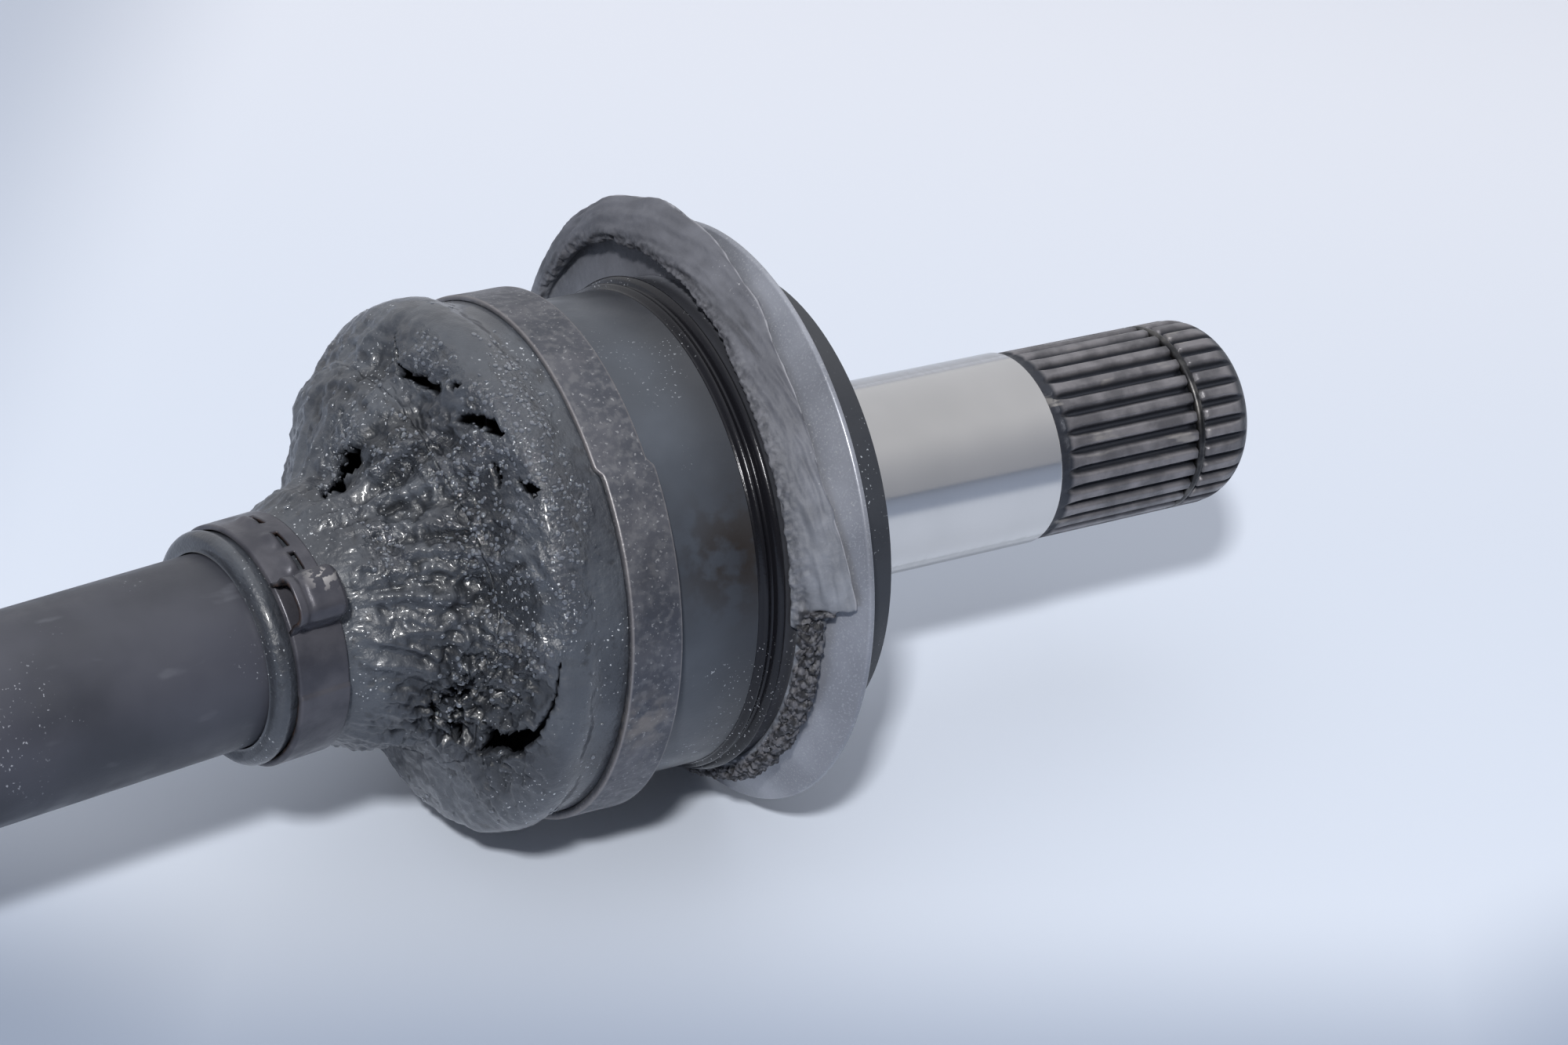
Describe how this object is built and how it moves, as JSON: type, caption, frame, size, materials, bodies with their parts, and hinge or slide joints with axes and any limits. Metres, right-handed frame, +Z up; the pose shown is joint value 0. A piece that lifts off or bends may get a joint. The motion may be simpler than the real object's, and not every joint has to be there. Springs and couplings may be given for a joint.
{
  "type": "drive shaft",
  "caption": "Half shaft with a tripod plunging joint and plug-in stub, a hollow bar, a torn rubber boot with clamps, and a caged ball joint with a toothed stem at the wheel end.",
  "frame": {"origin": "centre of the ground seal journal on the inner stub", "axes": "+X along the stub to its nose, +Z up as the shaft lies; the bar leaves the inner joint towards -X and -Y"},
  "size_m": [0.7298, 0.1722, 0.1121],
  "materials": {
    "can_paint": "satin blue-grey black",
    "stub_steel": "ground journal, dark toothed end",
    "spring_steel": "dark spring steel",
    "shield_steel": "satin grey black",
    "seal_rubber": "perished matte",
    "boot_rubber": "perished, greasy",
    "clamp_steel": "dull brown grey",
    "bar_paint": "satin black",
    "bearing_steel": "ground",
    "cage_steel": "phosphated",
    "bell_steel": "satin grey black, machined stem"
  },
  "bodies": {
    "inner_housing": {"inner_joint_housing": "can_paint", "inner_stub_shaft": "stub_steel", "stub_snap_ring": "spring_steel", "dust_shield": "shield_steel", "dust_seal": "seal_rubber", "inner_boot": "boot_rubber", "inner_boot_large_clamp": "clamp_steel"},
    "roller_top": {"roller_inner_ring_top": "bearing_steel", "roller_needles_top": "bearing_steel", "roller_washers_top": "cage_steel"},
    "roller_top_ring": {"roller_outer_ring_top": "bearing_steel"},
    "roller_left": {"roller_inner_ring_left": "bearing_steel", "roller_needles_left": "bearing_steel", "roller_washers_left": "cage_steel"},
    "roller_left_ring": {"roller_outer_ring_left": "bearing_steel"},
    "roller_right": {"roller_inner_ring_right": "bearing_steel", "roller_needles_right": "bearing_steel", "roller_washers_right": "cage_steel"},
    "roller_right_ring": {"roller_outer_ring_right": "bearing_steel"},
    "shaft": {"axle_shaft": "bar_paint", "tripod_spider": "bearing_steel", "spider_snap_ring": "spring_steel", "inner_boot_small_clamp": "clamp_steel", "outer_boot_small_clamp": "clamp_steel", "inner_race": "bearing_steel", "race_snap_ring": "spring_steel"},
    "outer_cage": {"ball_cage": "cage_steel", "bearing_ball_1": "bearing_steel", "bearing_ball_2": "bearing_steel", "bearing_ball_3": "bearing_steel", "bearing_ball_4": "bearing_steel", "bearing_ball_5": "bearing_steel", "bearing_ball_6": "bearing_steel"},
    "outer_housing": {"outer_joint_bell": "bell_steel", "outer_boot": "boot_rubber", "outer_boot_large_clamp": "clamp_steel"}
  },
  "joints": [
    {"name": "plunge", "type": "slide", "parent": "inner_housing", "child": "roller_top", "axis": [1, 0, 0], "range_m": [-0.002, 0.015], "deforming": ["inner_boot"]},
    {"name": "inner_bend", "type": "hinge", "parent": "roller_top", "child": "shaft", "pos_m": [-0.075, 0, 0], "axis": [0, 0, 1], "range_deg": [-29.5, 14.5], "deforming": ["inner_boot"]},
    {"name": "roller_left_slide", "type": "slide", "parent": "roller_top", "child": "roller_left", "axis": [1, 0, 0], "range_m": [-0.0118, 0.0059]},
    {"name": "roller_right_slide", "type": "slide", "parent": "roller_top", "child": "roller_right", "axis": [1, 0, 0], "range_m": [-0.0059, 0.0118]},
    {"name": "roller_top_roll", "type": "hinge", "parent": "roller_top", "child": "roller_top_ring", "pos_m": [-0.075, 0, 0.027], "axis": [0, 0, 1], "continuous": true},
    {"name": "roller_left_roll", "type": "hinge", "parent": "roller_left", "child": "roller_left_ring", "pos_m": [-0.07195, -0.02338, -0.0135], "axis": [0, -0.866, -0.5], "continuous": true},
    {"name": "roller_right_roll", "type": "hinge", "parent": "roller_right", "child": "roller_right_ring", "pos_m": [-0.07805, 0.02338, -0.0135], "axis": [0, 0.866, -0.5], "continuous": true},
    {"name": "outer_bend", "type": "hinge", "parent": "shaft", "child": "outer_cage", "pos_m": [-0.54098, -0.06135, 0], "axis": [0, 0, 1], "range_deg": [-20, 20], "deforming": ["outer_boot"]},
    {"name": "outer_bell_bend", "type": "hinge", "parent": "outer_cage", "child": "outer_housing", "pos_m": [-0.54098, -0.06135, 0], "axis": [0, 0, 1], "range_deg": [-20, 20], "deforming": ["outer_boot"]}
  ],
  "couplings": [
    {"joint": "roller_left_slide", "follows": "inner_bend", "m_per_rad": 0.0228},
    {"joint": "roller_right_slide", "follows": "inner_bend", "m_per_rad": -0.0228},
    {"joint": "outer_bell_bend", "follows": "outer_bend", "ratio": 1}
  ]
}
